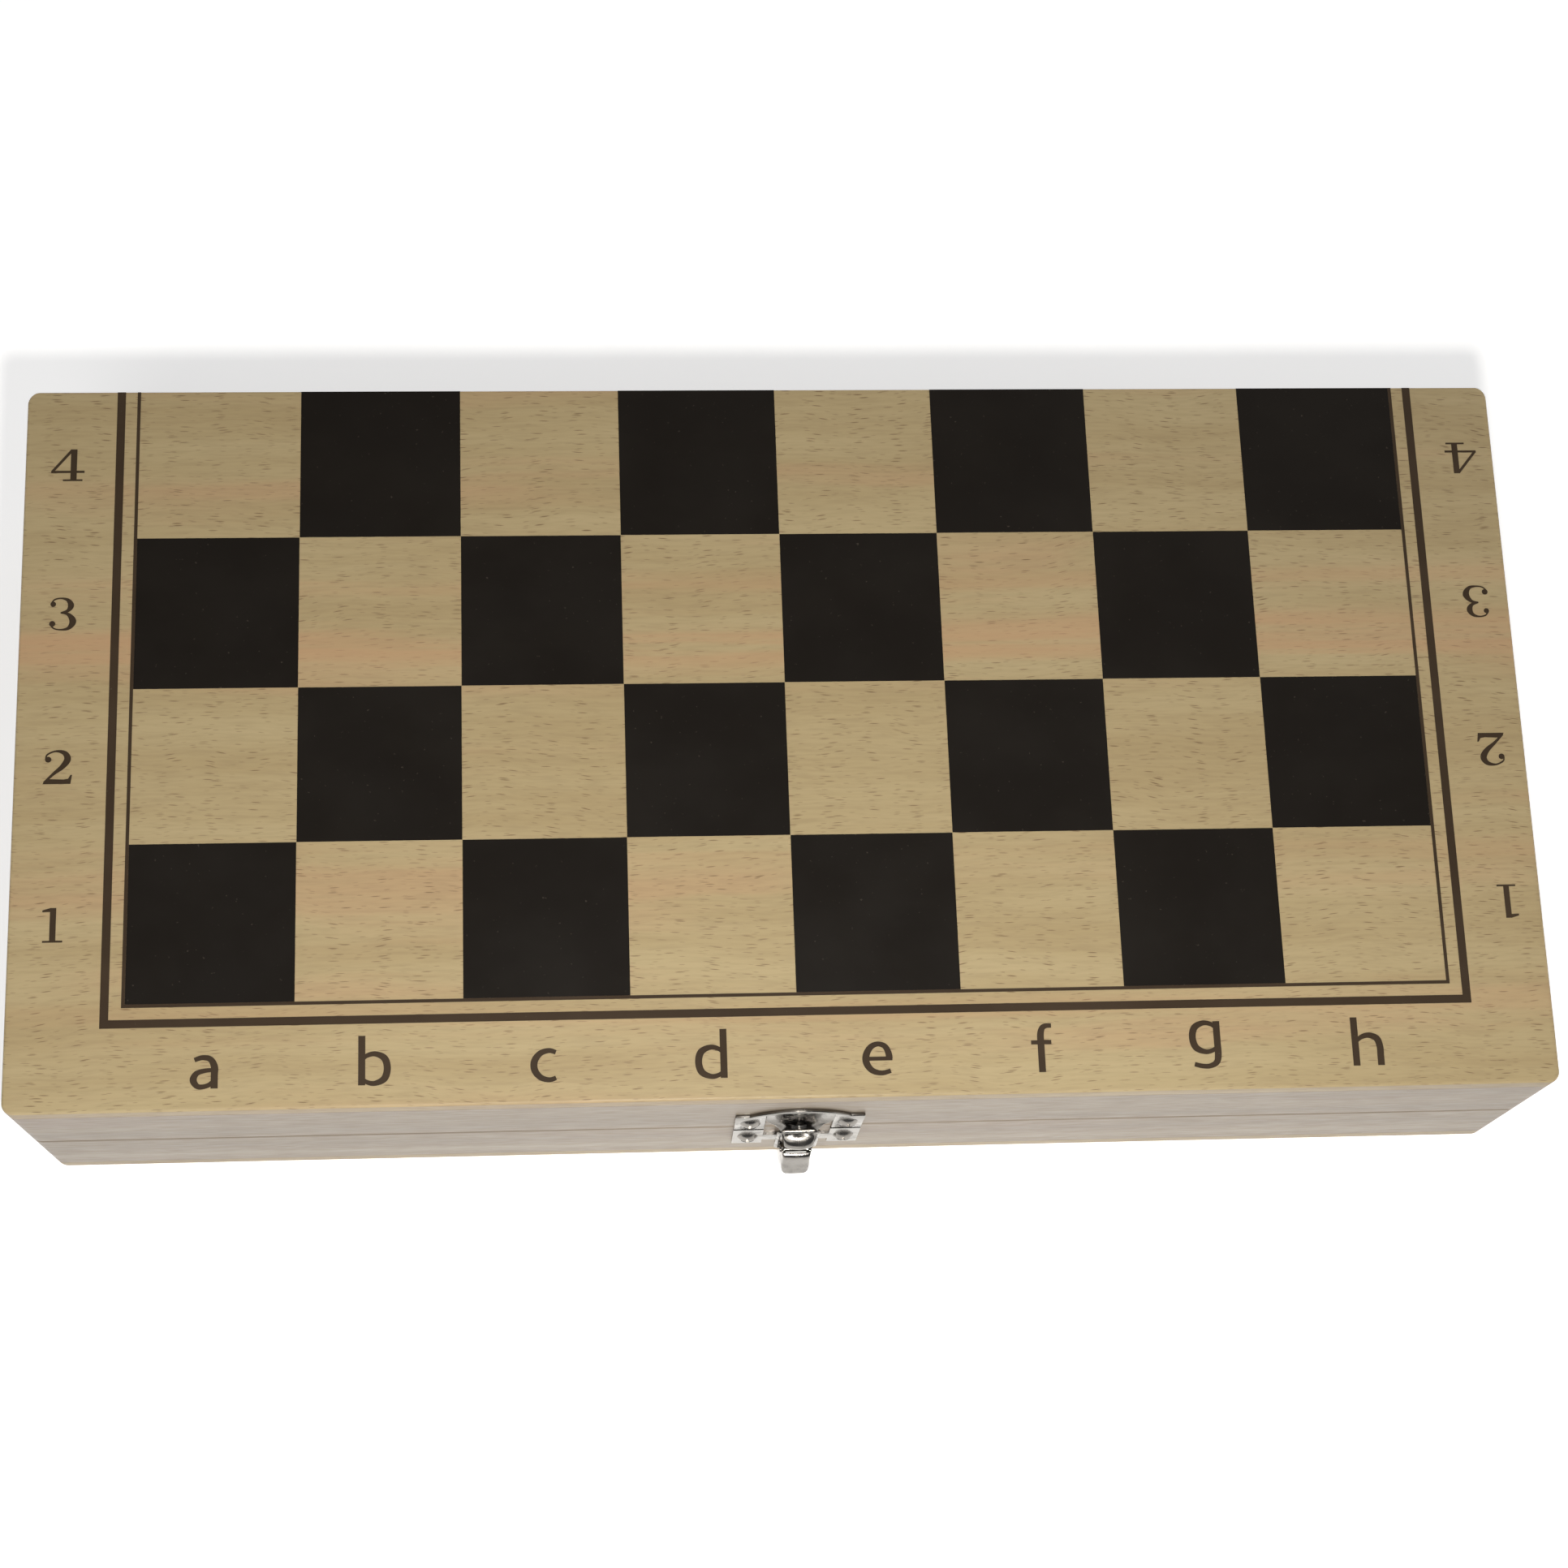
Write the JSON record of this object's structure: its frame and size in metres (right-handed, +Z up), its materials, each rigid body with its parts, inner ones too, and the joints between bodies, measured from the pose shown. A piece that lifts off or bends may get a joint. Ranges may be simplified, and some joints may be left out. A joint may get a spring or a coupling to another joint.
{
  "type": "folding board game box",
  "caption": "Shallow hinged wooden box that unfolds into a chequered game board, with a toggle latch at the front and a storage tray in each half.",
  "frame": {"origin": "centre of the closed box's bottom face, which it rests on", "axes": "+X along the board's files from a to h, +Y towards the hinges at the back, +Z up"},
  "size_m": [0.29, 0.153, 0.047],
  "materials": {
    "printed_board": "satin printed beech overlay",
    "wall_wood": "pale satin beech",
    "nickel_plate": "bright nickel plate",
    "screw_steel": "nickel-plated wood screw",
    "hinge_steel": "plated pressed steel"
  },
  "bodies": {
    "lower_half": {"lower_panel": "printed_board", "lower_front_wall": "wall_wood", "lower_back_wall": "wall_wood", "lower_left_wall": "wall_wood", "lower_right_wall": "wall_wood", "lower_hinge_screws": "screw_steel", "left_hinge_lower_leaf": "hinge_steel", "right_hinge_lower_leaf": "hinge_steel", "left_hinge_pin": "hinge_steel", "right_hinge_pin": "hinge_steel", "latch_base_plate": "nickel_plate", "latch_base_screws": "screw_steel", "lever_pin": "nickel_plate"},
    "upper_half": {"upper_panel": "printed_board", "upper_front_wall": "wall_wood", "upper_back_wall": "wall_wood", "upper_left_wall": "wall_wood", "upper_right_wall": "wall_wood", "upper_hinge_screws": "screw_steel", "left_hinge_upper_leaf": "hinge_steel", "right_hinge_upper_leaf": "hinge_steel", "strike_plate": "nickel_plate", "strike_screws": "screw_steel"},
    "latch_lever": {"latch_lever": "nickel_plate"},
    "latch_loop": {"latch_loop": "nickel_plate"}
  },
  "joints": [
    {"name": "lid_hinge", "type": "hinge", "parent": "lower_half", "child": "upper_half", "pos_m": [0, 0.07235, 0.0235], "axis": [-1, 0, 0], "range_deg": [0, 180]},
    {"name": "lever_pivot", "type": "hinge", "parent": "lower_half", "child": "latch_lever", "pos_m": [0.0017, -0.0755, 0.0166], "axis": [-1, 0, 0], "range_deg": [0, 90]},
    {"name": "loop_pivot", "type": "hinge", "parent": "latch_lever", "child": "latch_loop", "pos_m": [0.0017, -0.0742, 0.0141], "axis": [-1, 0, 0], "range_deg": [-120, 0]}
  ],
  "couplings": [
    {"joint": "loop_pivot", "follows": "lever_pivot", "ratio": -1.3333}
  ]
}
